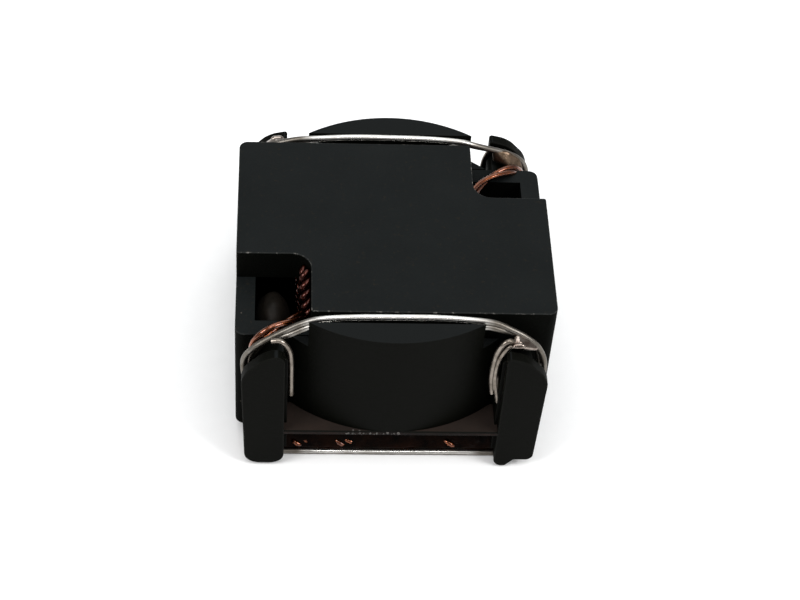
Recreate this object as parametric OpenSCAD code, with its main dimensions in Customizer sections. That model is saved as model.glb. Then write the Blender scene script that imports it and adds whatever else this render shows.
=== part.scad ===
// Shielded surface-mount inductor: a ferrite cup and lid around a twisted-pair
// coil, on a moulded header whose corner posts carry the wire terminals.
// Origin under the middle of the part, on the board. +Z is up. Millimetres.

/* [Ferrite core] */
// Width of the ferrite block, across the two posts
core_w = 12.3; // [12:0.1:12.8]
// Depth of the ferrite block, from front face to rear face
core_d = 9.1; // [8.9:0.1:9.5]
// Height of the ferrite block, lid included
core_h = 6.9; // [6.5:0.1:7.5]
// Thickness of the lid
lid_t = 1.4; // [1.2:0.1:1.6]
// Radius of the upright corners of the block
core_corner_r = 0.35; // [0.2:0.05:0.5]
// Thickness of the cup's side walls
side_wall = 0.75; // [0.6:0.05:0.9]
// Thickness of the cup's end walls
end_wall = 0.7; // [0.55:0.05:0.8]
// Thickness of the cup's floor
cup_floor = 1.2; // [1:0.1:1.5]
// Diameter of the round centre post
centre_post_d = 4.4; // [4:0.1:4.5]
// Air gap ground between the centre post and the lid
air_gap = 0.3; // [0.1:0.05:0.6]

/* [Lid notches] */
// Width of each corner notch
notch_w = 2.9; // [2.7:0.1:3.2]
// Depth of each corner notch
notch_d = 2.95; // [2.6:0.05:3.2]
// Radius of the notch's inner corner
notch_r = 0.75; // [0.4:0.05:0.9]

/* [Wire] */
// Diameter of one wire strand
strand_d = 0.24; // [0.2:0.01:0.25]
// Length over which the twisted pair makes one full turn
twist_pitch = 1.9; // [1.6:0.1:2.4]
// Layers of turns in the coil
coil_layers = 3; // [2:1:3]
// Rows of turns in the coil
coil_rows = 8; // [6:1:8]

/* [Header] */
// How far the header stands out past the ferrite's front and rear faces
header_reach = 1.57; // [1.5:0.01:1.7]
// Height of the header's underside above the board
base_low = 0.3; // [0.25:0.05:0.4]
// Thickness of the plate under the ferrite block
base_t = 0.4; // [0.3:0.05:0.5]
// Height of the deck's top above the board
deck_top = 2.2; // [1.8:0.1:2.6]
// Thickness of the deck
deck_t = 0.3; // [0.25:0.05:0.4]
// Width of the groove that the top wire lies in
groove_w = 0.55; // [0.5:0.01:0.65]
// Thickness of the apron that joins the deck to the base plate
apron_t = 0.24; // [0.2:0.01:0.25]

/* [Corner posts] */
// Width of each post's head
post_w = 1.68; // [1.5:0.02:1.8]
// Distance from the block's side face in to the post's outer edge
post_inset = 0.25; // [0.2:0.05:0.35]
// Distance from the top of the block down to the top of the post
post_drop = 0.85; // [0.7:0.05:1]
// Height of the post's foot above the board
post_low = 0.15; // [0.12:0.01:0.25]
// Thickness of the post's head plate
head_t = 0.46; // [0.4:0.01:0.48]
// Width of the head's crown, from its inner edge to where the shoulder falls away
crown_w = 0.8; // [0.7:0.05:0.9]
// How far the crown falls over its width
crown_fall = 0.2; // [0.1:0.05:0.3]
// Distance from the top of the post down to its outer corner
shoulder_fall = 1.2; // [1.1:0.05:1.4]
// Radius that rounds the outer corner and the crown's end
shoulder_r = 1.2; // [0.8:0.1:1.2]
// Radius of the head's lower corners
foot_r = 0.55; // [0.3:0.05:0.6]
// How far the neck that the wires wrap round lies in from the head's outer edge
neck_inset = 0.3; // [0.28:0.01:0.35]

/* [Terminal wires] */
// Height of the top wire's centre above the top of the block
wire_rise = 0.07; // [0:0.01:0.12]
// Half length of the straight stretch of the top wire
top_run = 3.1; // [2.9:0.1:3.2]
// Length of the wire tails inside the posts
tail_len = 2.9; // [2:0.1:3.2]

/* [Hidden] */

fit = 0.05;
touch = 0.02;
edge_r = 0.1;
coil_gap = 0.2;
row_groove = 0.1;
neck_cover = 0.13;
neck_drop = 0.6;
neck_foot_r = 0.4;
foot_taper = 0.13;
apron_lap = 0.45;
side_bend_z = 2.4;
side_bend_r = 2;
shoulder_drop = 0.2;
shoulder_bend_r = 1.9;
top_bend_r = 1.8;
foot_bend_r = 0.55;
strand_end_z = 3.2;
strand_bend_r = 1.5;
strand_inset = 0.1;
lead_start_y = 0.2;
lead_leave_y = 2.4;
lead_edge_y = 3.5;
lead_corner = 0.25;
lead_climb = 0.8;
lead_foot_rise = 0.9;
lead_bend_r = 1;
lead_tight_r = 0.5;
lead_foot_r = 0.35;
bead_len = 0.4;
hook_r = 0.2;
hang_r = 0.3;

arc_steps = 8;
wall_steps = 32;
hook_steps = 4;
wire_sides = 8;
strand_sides = 6;
rings_per_twist = 9;

half_w = core_w / 2;
half_d = core_d / 2;
core_low = base_low + base_t;
core_top = core_low + core_h;
lid_low = core_top - lid_t;

strand_r = strand_d / 2;
rope_r = strand_d + touch;
row_step = 2 * rope_r;
coil_in = centre_post_d / 2 + coil_gap;
coil_out = coil_in + coil_layers * row_step;
coil_low = core_low + cup_floor + fit;
coil_top = coil_low + coil_rows * row_step;

face_y = half_d + header_reach;
head_back = face_y - head_t;
lip_back = half_d + groove_w;
apron_back = half_d + fit;
post_out = half_w - post_inset;
post_in = post_out - post_w;
post_top = core_top - post_drop;
neck_in = post_in + neck_cover;
neck_out = post_out - neck_inset;
neck_top = post_top - neck_drop;
neck_low = 2 * rope_r + strand_r;
neck_r = neck_out - neck_in - 2 * fit;
wall_r = face_y - touch;
apron_end = neck_in + apron_lap;

wire_top = core_top + wire_rise;
groove_y = half_d + groove_w / 2 + touch;
front_y = head_back - strand_r - 2 * touch;
middle_y = front_y - strand_d - touch / 2;
rear_y = half_d + 2 * touch + rope_r;
side_x = neck_out + strand_r + touch;
lead_side_x = neck_out + rope_r + touch;
shoulder_z = neck_top - shoulder_drop;
lead_z = rope_r + fit;
lead_under_y = apron_back + apron_t + rope_r + touch;
lead_x = coil_out + rope_r + touch;
lead_rim_z = lid_low + rope_r + fit;

function unit(v) = v / norm(v);

// Arc that rounds the corner b between a and c to radius r
function corner_arc(a, b, c, r, steps) =
    let (u = unit(a - b),
         v = unit(c - b),
         half = acos(u * v) / 2,
         centre = b + unit(u + v) * (r / sin(half)),
         start = b + u * (r / tan(half)) - centre,
         end = b + v * (r / tan(half)) - centre,
         e1 = unit(start),
         e2 = unit(end - (end * e1) * e1),
         turn = 180 - 2 * half)
    [for (k = [0 : steps]) let (s = turn * k / steps)
        centre + r * (cos(s) * e1 + sin(s) * e2)];

// Closed outline with each corner rounded; corners are [point, radius]
function rounded_outline(corners, steps) =
    let (n = len(corners))
    [for (i = [0 : n - 1])
        each corner_arc(corners[(i + n - 1) % n][0], corners[i][0],
                        corners[(i + 1) % n][0], corners[i][1], steps)];

// Open path with each inner corner rounded
function rounded_path(corners, steps) =
    let (n = len(corners))
    [corners[0][0],
     for (i = [1 : n - 2])
        each corner_arc(corners[i - 1][0], corners[i][0], corners[i + 1][0],
                        corners[i][1], steps),
     corners[n - 1][0]];

// Length of a path up to each of its points
function run_lengths(p) =
    [for (i = 0, s = 0; i < len(p);
          s = s + (i < len(p) - 1 ? norm(p[i + 1] - p[i]) : 0), i = i + 1) s];

// Point on a path at length s
function point_at(p, runs, s) =
    let (k = max([for (i = [0 : len(p) - 2]) if (runs[i] <= s) i]))
    p[k] + (p[k + 1] - p[k]) * (s - runs[k]) / (runs[k + 1] - runs[k]);

// Direction of a path at point i
function heading(p, i, closed) =
    let (n = len(p),
         before = closed ? (i + n - 1) % n : max(i - 1, 0),
         after = closed ? (i + 1) % n : min(i + 1, n - 1))
    unit(p[after] - p[before]);

// Round wire swept along a path; ref is a direction that the path never takes
module wire(path, d, sides, ref, closed = false) {
    n = len(path);
    rings = [for (i = [0 : n - 1])
        let (t = heading(path, i, closed), u = unit(cross(ref, t)), v = cross(t, u))
        for (k = [0 : sides - 1]) let (a = 360 * k / sides)
            path[i] + d / 2 * (cos(a) * u + sin(a) * v)];
    last = closed ? n - 1 : n - 2;
    walls = [for (i = [0 : last]) for (k = [0 : sides - 1])
        let (a = i * sides + k,
             b = i * sides + (k + 1) % sides,
             c = ((i + 1) % n) * sides + (k + 1) % sides,
             e = ((i + 1) % n) * sides + k)
        each [[a, c, b], [a, e, c]]];
    caps = closed ? [] : [
        [for (k = [0 : sides - 1]) k],
        [for (k = [sides - 1 : -1 : 0]) (n - 1) * sides + k]];
    polyhedron(points = rings, faces = concat(walls, caps));
}

// Two strands twisted round a path
module twisted_pair(path, ref) {
    runs = run_lengths(path);
    total = runs[len(runs) - 1];
    steps = ceil(total / twist_pitch * rings_per_twist);
    near = 0.02;
    for (side = [0, 180])
        wire([for (i = [0 : steps])
                let (s = total * i / steps,
                     back = point_at(path, runs, max(s - near, 0)),
                     ahead = point_at(path, runs, min(s + near, total - 0.001)),
                     t = unit(ahead - back),
                     u = unit(cross(ref, t)),
                     v = cross(t, u),
                     a = 360 * s / twist_pitch + side)
                point_at(path, runs, min(s, total - 0.001))
                    + (strand_r + touch) * (cos(a) * u + sin(a) * v)],
             strand_d, strand_sides, ref);
}

// Rounded plate drawn in X and Z, from y = -near to y = -far
module upright_plate(corners, near, far) {
    translate([0, -near, 0])
        rotate([90, 0, 0])
            linear_extrude(far - near)
                polygon(rounded_outline(corners, arc_steps));
}

// A copy for the front and one turned half way round for the rear
module both_ends() {
    children();
    rotate([0, 0, 180]) children();
}

module ferrite_lid() {
    x_in = half_w - notch_w;
    y_in = half_d - notch_d;
    outline = [
        [[-x_in, -half_d], edge_r], [[half_w, -half_d], core_corner_r],
        [[half_w, y_in], edge_r], [[x_in, y_in], notch_r],
        [[x_in, half_d], edge_r], [[-half_w, half_d], core_corner_r],
        [[-half_w, -y_in], edge_r], [[-x_in, -y_in], notch_r]];
    color([0.15, 0.16, 0.17])
        translate([0, 0, lid_low])
            linear_extrude(lid_t) polygon(rounded_outline(outline, arc_steps));
}

module ferrite_cup() {
    h = lid_low - core_low;
    outline = [
        [[-half_w, -half_d], core_corner_r], [[half_w, -half_d], core_corner_r],
        [[half_w, half_d], core_corner_r], [[-half_w, half_d], core_corner_r]];
    inner_x = half_w - side_wall;
    inner_y = half_d - end_wall;
    color([0.13, 0.14, 0.15])
        translate([0, 0, core_low]) {
            difference() {
                linear_extrude(h) polygon(rounded_outline(outline, arc_steps));
                translate([-inner_x, -inner_y, cup_floor])
                    cube([2 * inner_x, 2 * inner_y, h]);
                translate([0, 0, cup_floor])
                    cylinder(r = coil_out + 2 * fit, h = h, $fn = 96);
            }
            cylinder(d = centre_post_d, h = h - air_gap, $fn = 64);
        }
}

module winding() {
    color([0.45, 0.2, 0.1])
        difference() {
            union() {
                translate([0, 0, coil_low])
                    cylinder(r = coil_out - row_groove, h = coil_top - coil_low, $fn = 96);
                for (row = [0 : coil_rows - 1])
                    translate([0, 0, coil_low + (row + 0.5) * row_step])
                        rotate_extrude($fn = 48)
                            translate([coil_out - rope_r, 0])
                                circle(r = rope_r - touch, $fn = 16);
            }
            translate([0, 0, coil_low - 1])
                cylinder(r = coil_in, h = coil_top - coil_low + 2, $fn = 64);
        }
}

module post() {
    upright_plate([
        [[post_in, post_low], foot_r], [[post_out - foot_taper, post_low], foot_r],
        [[post_out, post_top - shoulder_fall], shoulder_r],
        [[post_in + crown_w, post_top - crown_fall], shoulder_r],
        [[post_in, post_top], edge_r]],
        head_back, face_y);
    upright_plate([
        [[neck_in, neck_low], edge_r], [[neck_out, neck_low], neck_foot_r],
        [[neck_out, neck_top], neck_r], [[neck_in, neck_top], edge_r - touch]],
        apron_back, head_back + touch);
}

// Part of a round disc that lies in front of y = -back
module round_segment(back, low, high) {
    reach = acos(back / wall_r);
    translate([0, 0, low])
        linear_extrude(high - low)
            polygon([for (k = [0 : wall_steps]) let (a = -90 - reach + 2 * reach * k / wall_steps)
                wall_r * [cos(a), sin(a)]]);
}

// Everything of the header that stands in front of the ferrite block
module header_front() {
    post();
    mirror([1, 0, 0]) post();
    translate([-apron_end, -apron_back - apron_t, base_low])
        cube([2 * apron_end, apron_t, deck_top - base_low]);
    translate([-neck_in - fit, -face_y, deck_top - deck_t])
        cube([2 * (neck_in + fit), face_y - apron_back, deck_t]);
    round_segment(apron_back, deck_top - touch, lid_low);
    round_segment(lip_back, lid_low - touch, core_top);
}

module header() {
    color([0.1, 0.1, 0.1]) {
        translate([-neck_out, -apron_back - apron_t, base_low])
            cube([2 * neck_out, 2 * (apron_back + apron_t), base_t]);
        both_ends() header_front();
    }
}

// Twisted pair from the coil, out of the notch, round the post and under the deck,
// with a bead of solder that joins its strands at the far foot
module lead() {
    far_end = [neck_out - 2 * fit, -lead_under_y, lead_z];
    color([0.6, 0.3, 0.15]) {
        twisted_pair(rounded_path([
            [[-lead_x, lead_start_y, coil_top - 3 * row_step], 0],
            [[-lead_x, -lead_leave_y, coil_top - 2 * row_step], side_bend_r],
            [[-lead_x + touch, -lead_edge_y, lead_rim_z], lead_tight_r],
            [[-neck_in + fit, -half_d + lead_corner, lead_rim_z], lead_tight_r],
            [[-neck_in - lead_tight_r, -rear_y, neck_top + lead_climb], lead_tight_r],
            [[-lead_side_x, -rear_y, shoulder_z], lead_bend_r],
            [[-lead_side_x, -rear_y, lead_z + lead_foot_rise], lead_bend_r],
            [[-lead_side_x, -lead_under_y, lead_z], lead_foot_r],
            [far_end, 0]], arc_steps),
            unit([1, 0.35, -0.2]));
        wire([far_end - [bead_len, 0, 0], far_end + [touch, 0, 0]],
             2 * rope_r, wire_sides, [0, 1, 0]);
    }
}

// Tinned wire that rings both posts: top wire, sides and solder terminal
module terminal() {
    color([0.75, 0.74, 0.7])
        wire(rounded_outline([
            [[-top_run, -groove_y, wire_top], top_bend_r],
            [[-side_x, -middle_y, shoulder_z], shoulder_bend_r],
            [[-side_x, -middle_y, side_bend_z], side_bend_r],
            [[-side_x, -front_y, strand_r], foot_bend_r],
            [[side_x, -front_y, strand_r], foot_bend_r],
            [[side_x, -middle_y, side_bend_z], side_bend_r],
            [[side_x, -middle_y, shoulder_z], shoulder_bend_r],
            [[top_run, -groove_y, wire_top], top_bend_r]], arc_steps),
            strand_d, wire_sides, [0, 1, 0], closed = true);
}

// Second strand of the pair, soldered under the top wire
module second_strand() {
    run = top_run - strand_inset;
    low = wire_top - strand_d - touch;
    bend_z = shoulder_z - shoulder_drop;
    color([0.7, 0.69, 0.65])
        wire(rounded_path([
            [[-side_x, -front_y, strand_end_z], 0],
            [[-side_x, -front_y, bend_z], strand_bend_r],
            [[-run, -groove_y, low], strand_bend_r],
            [[run, -groove_y, low], strand_bend_r],
            [[side_x, -front_y, bend_z], strand_bend_r],
            [[side_x, -front_y, strand_end_z], 0]], arc_steps),
            strand_d, wire_sides, [0, 1, 0]);
}

// Tail that hooks over a post's inner corner and hangs down beside it; its start,
// crest and hanging point are given from the top inner corner of the neck
module tail(start, crest, hang, length) {
    corner = [neck_in, -front_y, neck_top];
    color([0.72, 0.71, 0.67])
        wire(rounded_path([
            [corner + start, 0], [corner + crest, hook_r], [corner + hang, hang_r],
            [corner + hang - [0, 0, length], 0]], hook_steps),
            strand_d, wire_sides, [0, 1, 0]);
}

module single_tail() {
    mirror([1, 0, 0])
        tail([0.25, 0, 0.28], [0, 0, 0.7], [-0.37, 0, 0.55], tail_len);
}

module upper_tail() {
    tail([0.1, 0.2, 0.74], [-0.2, 0.1, 0.85], [-0.55, 0.05, -0.1], tail_len - 2 * strand_d);
}

module lower_tail() {
    tail([0.25, 0, 0.26], [-0.03, 0, 0.62], [-0.29, 0, -0.2], tail_len - strand_d);
}

module turned() {
    rotate([0, 0, 180]) children();
}

ferrite_lid();
ferrite_cup();
winding();
header();
lead();  // front_lead
turned() lead();  // rear_lead
terminal();  // front_terminal
turned() terminal();  // rear_terminal
second_strand();  // front_second_strand
turned() second_strand();  // rear_second_strand
single_tail();  // front_single_tail
turned() single_tail();  // rear_single_tail
upper_tail();  // front_upper_tail
turned() upper_tail();  // rear_upper_tail
lower_tail();  // front_lower_tail
turned() lower_tail();  // rear_lower_tail
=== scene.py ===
# %% [markdown]
# # A shielded inductor, dressed for a close look
#
# The part is a ferrite block only 12 mm wide, with a coil of twisted copper pair
# inside it and tinned wire wrapped round four moulded posts. The imported solids
# already have every size. This lesson gives each of them the finish of the real
# thing: ground ferrite with chipped edges, dull moulded plastic, twisted strands
# and solder. Up-facing faces and ferrite edges also carry painted sheen and painted
# highlights. Lid and cup are copies of their solids. The wires, post necks, aprons
# and base plate are made again, and lie up to 0.5 mm beside theirs, the leads more.

import math

import bmesh
import bpy
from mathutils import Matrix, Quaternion, Vector


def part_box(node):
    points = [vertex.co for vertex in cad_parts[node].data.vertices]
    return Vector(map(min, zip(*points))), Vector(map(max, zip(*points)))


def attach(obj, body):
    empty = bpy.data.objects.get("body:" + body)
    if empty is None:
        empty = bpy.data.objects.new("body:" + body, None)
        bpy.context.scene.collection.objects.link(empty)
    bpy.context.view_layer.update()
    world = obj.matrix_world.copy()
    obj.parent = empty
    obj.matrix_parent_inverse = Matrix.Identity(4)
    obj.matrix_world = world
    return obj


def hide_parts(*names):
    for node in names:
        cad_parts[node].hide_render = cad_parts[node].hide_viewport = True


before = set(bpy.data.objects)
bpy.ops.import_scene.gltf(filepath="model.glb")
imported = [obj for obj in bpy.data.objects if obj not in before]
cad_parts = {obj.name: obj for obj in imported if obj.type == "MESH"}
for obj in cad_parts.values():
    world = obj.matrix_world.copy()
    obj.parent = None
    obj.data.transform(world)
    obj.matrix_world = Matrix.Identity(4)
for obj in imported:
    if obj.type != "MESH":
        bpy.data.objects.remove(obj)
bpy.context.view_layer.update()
scene = bpy.context.scene
print("nodes loaded:", len(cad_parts))

# %% [markdown]
# ## Working in millimetres
#
# Blender's tools have thresholds that suit things about a metre across. Merge by
# distance, for one, joins points that are 0.1 mm apart, which would eat the wires
# here. So every new piece is made a thousand times too large, with one unit for one
# millimetre, and is brought down to metres once, when it is finished.

# %% Sizes that the solids give
MM = 0.001


def box_mm(node):
    """Lowest and highest corner of a CAD node, in millimetres."""
    low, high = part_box(node)
    return [value / MM for value in low], [value / MM for value in high]


lid_high = box_mm("ferrite_lid")[1]
cup_low, cup_high = box_mm("ferrite_cup")
coil_low, coil_high = box_mm("winding")
header_low, header_high = box_mm("header")
half_w = lid_high[0]
half_d = lid_high[1]
core_top = lid_high[2]
rim_z = cup_high[2]
base_low = header_low[2]
face_y = header_high[1]
post_out = header_high[0]
print("ferrite block %.2f x %.2f mm, top at %.2f mm" % (2 * half_w, 2 * half_d, core_top))

# %% [markdown]
# ## The camera
#
# The camera stands a little to the left of the front and looks down at 48 degrees.
# It is about 80 mm away, so the near clipping distance has to come down from Blender's
# usual 100 mm. The picture leans slightly, which is the roll at the end.

# %% Camera
AIM = Vector((0.4235, -0.6695, 3.9)) * MM
CAMERA_AZIMUTH = math.radians(-5.3575)
CAMERA_ELEVATION = math.radians(48.469)
CAMERA_ROLL = math.radians(4.8)
CAMERA_DISTANCE = 81.524 * MM
CAMERA_LENS = 90.6


def toward(azimuth, elevation):
    """Direction from the part to a place; azimuth 0 is the front, and right is positive."""
    return Vector((math.cos(elevation) * math.sin(azimuth),
                   -math.cos(elevation) * math.cos(azimuth),
                   math.sin(elevation)))


view_from = toward(CAMERA_AZIMUTH, CAMERA_ELEVATION)
bpy.ops.object.camera_add(location=AIM + CAMERA_DISTANCE * view_from)
camera = bpy.context.object
camera.rotation_mode = "QUATERNION"
camera.rotation_quaternion = (view_from.to_track_quat("Z", "Y")
                              @ Quaternion((0, 0, 1), CAMERA_ROLL))
camera.data.lens = CAMERA_LENS
camera.data.sensor_width = 36
camera.data.clip_start = 1 * MM
scene.camera = camera
scene.view_settings.view_transform = "Standard"
print("camera at", [round(value / MM, 2) for value in camera.location], "mm")

# %% [markdown]
# ## Tools for the bench
#
# Operators act on all that is selected, so each step begins by taking exactly the
# pieces that it works on. These helpers take pieces, pick edges or faces by their
# place, apply a modifier, and settle a finished piece into metres.


# %% Hand tools
def take(*pieces):
    """Selects just these pieces and makes the last one active."""
    bpy.ops.object.select_all(action="DESELECT")
    for piece in pieces:
        piece.select_set(True)
    bpy.context.view_layer.objects.active = pieces[-1]


def edit(piece, kind="EDGE"):
    """Opens a piece in edit mode with nothing selected."""
    take(piece)
    bpy.ops.object.mode_set(mode="EDIT")
    bpy.ops.mesh.select_mode(type=kind)
    bpy.ops.mesh.select_all(action="DESELECT")


def pick(piece, kind, wanted):
    """Selects, in edit mode, the edges or faces for which wanted() is true."""
    shape = bmesh.from_edit_mesh(piece.data)
    for part in getattr(shape, kind):
        part.select_set(wanted(part))
    bmesh.update_edit_mesh(piece.data)


def leave():
    bpy.ops.object.mode_set(mode="OBJECT")


def face_outward():
    """Turns all faces of the piece that is open in edit mode outward."""
    bpy.ops.mesh.select_all(action="SELECT")
    bpy.ops.mesh.normals_make_consistent(inside=False)


def apply_modifier(piece, kind, **settings):
    """Adds one modifier and applies it at once."""
    take(piece)
    modifier = piece.modifiers.new(kind.title(), kind)
    for name, value in settings.items():
        setattr(modifier, name, value)
    bpy.ops.object.modifier_apply(modifier=modifier.name)


def join(name, pieces):
    """Joins pieces into one that carries the name."""
    take(*pieces)
    bpy.ops.object.join()
    piece = bpy.context.object
    piece.name = name
    return piece


def block(name, low, high):
    """A cube stretched between two corners."""
    middle = [(first + second) / 2 for first, second in zip(low, high)]
    bpy.ops.mesh.primitive_cube_add(size=1, location=middle)
    piece = bpy.context.object
    piece.name = name
    piece.scale = [second - first for first, second in zip(low, high)]
    bpy.ops.object.transform_apply(location=True, rotation=True, scale=True)
    return piece


def slice_at(piece, point, normal, clear=False):
    """Cuts a piece by a plane; clear removes what lies on the normal's side."""
    edit(piece, "FACE")
    bpy.ops.mesh.select_all(action="SELECT")
    bpy.ops.mesh.bisect(plane_co=point, plane_no=normal, clear_outer=clear, use_fill=clear)
    leave()


def shift(piece, wanted, move):
    """Moves the corners of a piece for which wanted() is true."""
    edit(piece, "VERT")
    pick(piece, "verts", wanted)
    bpy.ops.transform.translate(value=move)
    leave()


def round_off(piece, wanted, width, segments=9, finish=-1):
    """Bevels the edges of a piece for which wanted() is true."""
    edit(piece, "EDGE")
    pick(piece, "edges", wanted)
    bpy.ops.mesh.bevel(offset=width, segments=segments, profile=0.5, affect="EDGES",
                       clamp_overlap=True, material=finish)
    leave()


def duplicate(piece, name, mirrored=False, turned=False):
    """A copy with its own mesh, mirrored left to right or turned to the other end."""
    copy = piece.copy()
    copy.data = piece.data.copy()
    copy.name = name
    scene.collection.objects.link(copy)
    take(copy)
    bpy.ops.object.transform_apply(location=True, rotation=True, scale=True)
    if mirrored:
        copy.scale.x = -1
    if turned:
        copy.rotation_euler.z = math.pi
    bpy.ops.object.transform_apply(location=True, rotation=True, scale=True)
    edit(copy, "FACE")
    face_outward()
    leave()
    return copy


def settle(piece, node_names, smooth=40):
    """Brings a finished piece from millimetres to metres and hands it to the frame."""
    take(piece)
    piece.scale = (MM, MM, MM)
    piece.location = piece.location * MM
    bpy.ops.object.transform_apply(location=True, rotation=True, scale=True)
    bpy.ops.object.shade_smooth_by_angle(angle=math.radians(smooth))
    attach(piece, "root")
    if node_names:
        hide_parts(*node_names)
    print(piece.name, "has", len(piece.data.polygons), "faces")


print("hand tools ready")

# %% [markdown]
# ## Building shader nodes
#
# `put` adds one node and fills its sockets: a plain value is set, and another node's
# output is linked. Every material starts from the part's own Object coordinates,
# turned into millimetres, so a pattern keeps its real size and never slides.


# %% Node helpers
def fill(tree, made, sockets):
    """Gives each socket of a node its plain value, or links another node's output."""
    for name, value in sockets.items():
        if isinstance(value, bpy.types.NodeSocket):
            tree.links.new(value, made.inputs[name])
        else:
            made.inputs[name].default_value = value


def put(tree, kind, sockets=None, **settings):
    """Adds a shader node, sets it up and returns it."""
    made = tree.nodes.new("ShaderNode" + kind)
    for name, value in settings.items():
        setattr(made, name, value)
    fill(tree, made, sockets or {})
    return made


def math_node(tree, operation, first, second=0.0):
    return put(tree, "Math", {0: first, 1: second}, operation=operation).outputs[0]


def blend(tree, factor, first, second):
    """Mixes two colours by a factor."""
    mixed = put(tree, "Mix", {0: factor, 6: first, 7: second}, data_type="RGBA")
    return mixed.outputs[2]


def new_material(name):
    """A material with its shader, and its Object coordinates in millimetres."""
    material = bpy.data.materials.new(name)
    material.use_nodes = True
    tree = material.node_tree
    shader = tree.nodes["Principled BSDF"]
    place = put(tree, "TexCoord").outputs["Object"]
    to_mm = put(tree, "Mapping", {"Vector": place, "Scale": (1 / MM, 1 / MM, 1 / MM)})
    return material, tree, shader, to_mm.outputs["Vector"]


def new_group(name, inputs, outputs):
    """A shader node group with named sockets; returns it with its two end nodes."""
    tree = bpy.data.node_groups.new(name, "ShaderNodeTree")
    for socket, kind in inputs.items():
        tree.interface.new_socket(name=socket, in_out="INPUT", socket_type="NodeSocket" + kind)
    for socket, kind in outputs.items():
        tree.interface.new_socket(name=socket, in_out="OUTPUT", socket_type="NodeSocket" + kind)
    start = tree.nodes.new("NodeGroupInput")
    end = tree.nodes.new("NodeGroupOutput")
    return tree, start.outputs, end.inputs


def use(tree, group, sockets):
    """Places a shader node group in a material."""
    made = tree.nodes.new("ShaderNodeGroup")
    made.node_tree = group
    fill(tree, made, sockets)
    return made.outputs


def dress(tree, shader, colour, rough, height, strength, depth):
    """Links a finish's colour, roughness and bump; the bump's depth is in millimetres."""
    bump = put(tree, "Bump", {"Height": height, "Strength": strength, "Distance": depth * MM})
    tree.links.new(colour, shader.inputs["Base Color"])
    tree.links.new(rough, shader.inputs["Roughness"])
    tree.links.new(bump.outputs[0], shader.inputs["Normal"])


print("node helpers ready")

# %% [markdown]
# ## Effects that several finishes share
#
# Three effects turn up again and again on this part, so each is a node group: a
# sintered grain for ferrite and plastic, pale specks of dust and ceramic powder,
# and a broken mask that makes a worn edge or a patchy film look uneven.

# %% Shared effects
grain, given, out = new_group(
    "sintered grain", {"Place": "Vector", "Size": "Float"},
    {"Height": "Float", "Tone": "Float"})
density = math_node(grain, "DIVIDE", 1.0, given["Size"])
fine = put(grain, "TexNoise", {"Vector": given["Place"], "Scale": density, "Detail": 5.0,
                               "Roughness": 0.65})
cells = put(grain, "TexVoronoi", {"Vector": given["Place"], "Scale": density})
height = put(grain, "Mix", {0: 0.35, 2: fine.outputs[0], 3: cells.outputs["Distance"]})
grain.links.new(height.outputs[0], out["Height"])
grain.links.new(fine.outputs[0], out["Tone"])

specks, given, out = new_group(
    "pale specks", {"Place": "Vector", "Spacing": "Float", "Radius": "Float", "Share": "Float"},
    {"Mask": "Float"})
density = math_node(specks, "DIVIDE", 1.0, given["Spacing"])
cells = put(specks, "TexVoronoi", {"Vector": given["Place"], "Scale": density})
reach = math_node(specks, "MULTIPLY", given["Radius"], density)
near = math_node(specks, "LESS_THAN", cells.outputs["Distance"], reach)
draw = put(specks, "SeparateColor", {"Color": cells.outputs["Color"]})
chosen = math_node(specks, "LESS_THAN", draw.outputs[0], given["Share"])
specks.links.new(math_node(specks, "MULTIPLY", near, chosen), out["Mask"])

patches, given, out = new_group(
    "broken patches", {"Place": "Vector", "Size": "Float", "From": "Float", "To": "Float"},
    {"Mask": "Float"})
density = math_node(patches, "DIVIDE", 1.0, given["Size"])
cloud = put(patches, "TexNoise", {"Vector": given["Place"], "Scale": density, "Detail": 4.0,
                                  "Roughness": 0.6})
ramp = put(patches, "MapRange", {"Value": cloud.outputs[0], "From Min": given["From"],
                                 "From Max": given["To"]})
patches.links.new(ramp.outputs[0], out["Mask"])
print("shared effects:", grain.name, "/", specks.name, "/", patches.name)

# %% [markdown]
# ## Ferrite
#
# Ferrite is a fired ceramic: near black, ground flat with a fine grain that scatters
# light. Dust and ceramic powder show as tiny pale specks. It chips at its edges, where
# the fresh fracture is lighter, so the bevelled edges have a finish of their own, which
# also carries a painted highlight. The ground top is painted lighter and faintly blue:
# a painted sheen.


# %% Ferrite finishes
def ferrite(name, dark, light, chip, chip_from, sheen):
    """Fired ferrite; chip is the colour of broken spots, and chip_from how rare they are."""
    material, tree, shader, place = new_material(name)
    skin = use(tree, grain, {"Place": place, "Size": 0.11})
    cloudy = use(tree, patches, {"Place": place, "Size": 2.6, "From": 0.35, "To": 0.7})
    chips = use(tree, patches, {"Place": place, "Size": 0.16, "From": chip_from,
                                "To": chip_from + 0.12})
    dust = use(tree, specks, {"Place": place, "Spacing": 0.85, "Radius": 0.03, "Share": 0.14})
    tone = math_node(tree, "MULTIPLY", skin["Tone"], 0.75)
    tone = math_node(tree, "ADD", tone, math_node(tree, "MULTIPLY", cloudy["Mask"], 0.3))
    colour = blend(tree, tone, dark, light)
    colour = blend(tree, chips["Mask"], colour, chip)
    colour = blend(tree, dust["Mask"], colour, DUST)
    rough = put(tree, "MapRange", {"Value": skin["Tone"], "To Min": 0.5, "To Max": 0.68})
    dress(tree, shader, colour, rough.outputs[0], skin["Height"], 0.35, 0.03)
    shader.inputs["Specular IOR Level"].default_value = sheen
    return material


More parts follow.
